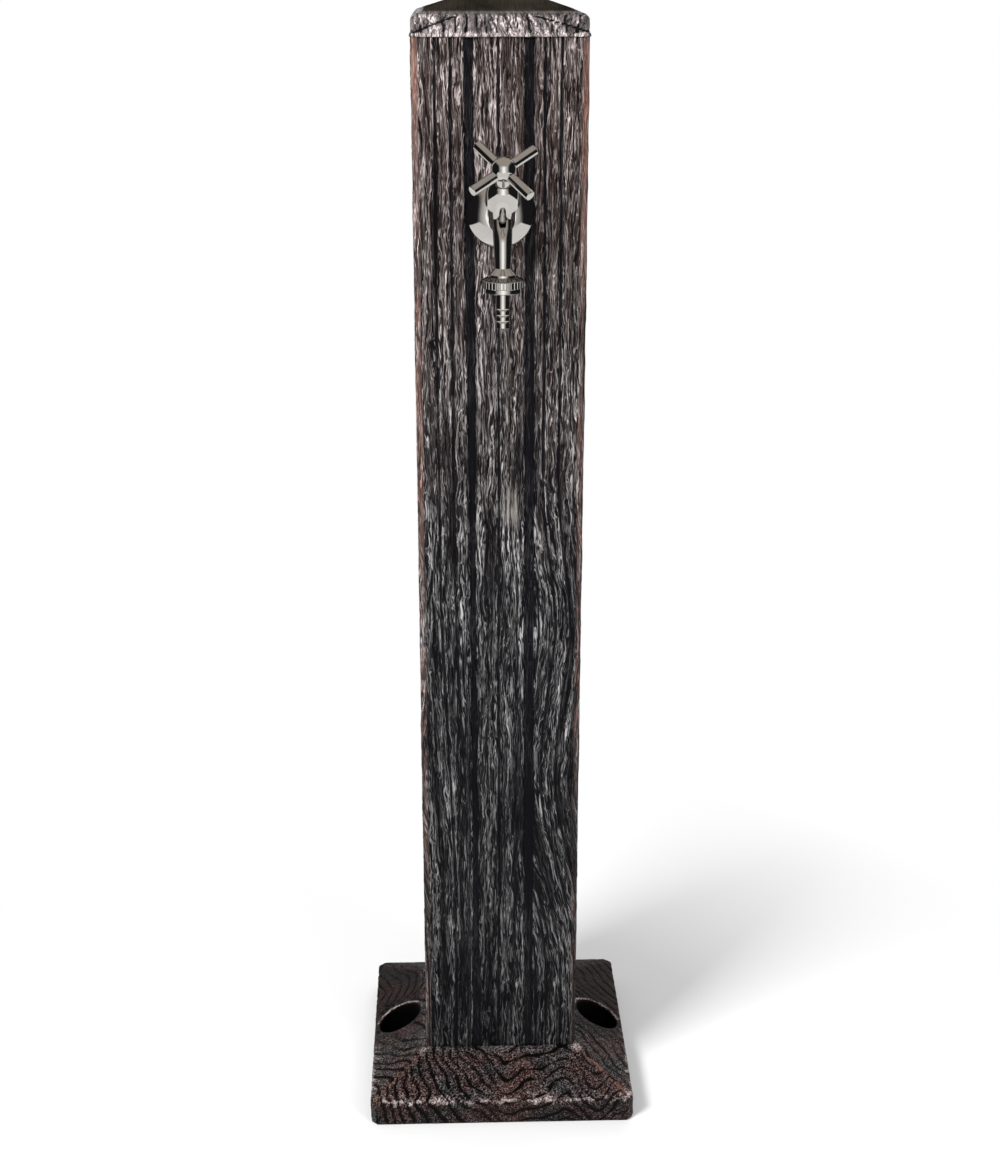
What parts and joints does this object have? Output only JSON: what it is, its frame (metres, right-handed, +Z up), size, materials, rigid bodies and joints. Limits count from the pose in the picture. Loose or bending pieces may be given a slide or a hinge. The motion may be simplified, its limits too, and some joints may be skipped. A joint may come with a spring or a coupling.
{
  "type": "garden standpipe",
  "caption": "Square cast garden standpipe with wood-plank relief, a hipped cap, a sloped square foot and a chrome cross-handle tap with a hose union.",
  "frame": {"origin": "centre of the base's underside, on the ground, midway between the two anchor holes", "axes": "+Z up, the tap faces -Y, +X to the right as seen from behind the tap's handle facing +Y"},
  "size_m": [0.24, 0.2859, 0.984],
  "materials": {
    "casting_base": "antique dark reddish brown paint, worn at the edges, over cast metal",
    "casting_column": "antique charcoal paint with paler worn ridges, over cast metal",
    "casting_cap": "antique charcoal paint with paler worn ridges, over cast metal",
    "chrome": "polished",
    "brass": "machined",
    "copper": "drawn copper tube",
    "steel": "plain stainless",
    "rubber": "matt"
  },
  "bodies": {
    "column": {"base_casting": "casting_base", "column_shell": "casting_column", "cap_casting": "casting_cap", "column_screws": "steel", "column_screw_washers": "steel", "wall_rose": "chrome", "rose_seal": "rubber", "tap_body": "chrome", "tap_backnut": "brass", "tap_backnut_washer": "rubber", "headwork_body": "brass", "headwork_washer": "rubber", "headwork_bell": "chrome", "supply_elbow": "brass", "elbow_olive": "brass", "elbow_nut": "brass", "riser_pipe": "copper", "inlet_connector": "brass", "inlet_olive": "brass", "inlet_nut": "brass", "inlet_locknut": "brass"},
    "handle": {"valve_spindle": "brass", "spindle_o_rings": "rubber", "spindle_circlip": "steel", "handle_hub": "chrome", "handle_arms": "chrome", "handle_dome": "chrome", "handle_screw": "steel"},
    "jumper": {"jumper_valve": "brass", "jumper_washer": "rubber", "jumper_nut": "brass"},
    "hose_tail": {"hose_tail": "chrome", "hose_washer": "rubber"},
    "hose_nut": {"hose_nut": "chrome"}
  },
  "joints": [
    {"name": "handle_turn", "type": "hinge", "parent": "column", "child": "handle", "pos_m": [0, -0.103, 0.812], "axis": [0, -0.7071, 0.7071], "range_deg": [0, 720]},
    {"name": "valve_lift", "type": "slide", "parent": "column", "child": "jumper", "axis": [0, -0.7071, 0.7071], "range_m": [0, 0.0035]},
    {"name": "hose_release", "type": "slide", "parent": "column", "child": "hose_tail", "axis": [0, 0, -1], "range_m": [0, 0.008]},
    {"name": "hose_nut_turn", "type": "hinge", "parent": "hose_tail", "child": "hose_nut", "pos_m": [0, -0.1265, 0.768], "axis": [0, 0, -1], "range_deg": [0, 1584]}
  ],
  "couplings": [
    {"joint": "valve_lift", "follows": "handle_turn", "m_per_rad": 0.00027852},
    {"joint": "hose_release", "follows": "hose_nut_turn", "m_per_rad": 0.00028871}
  ]
}
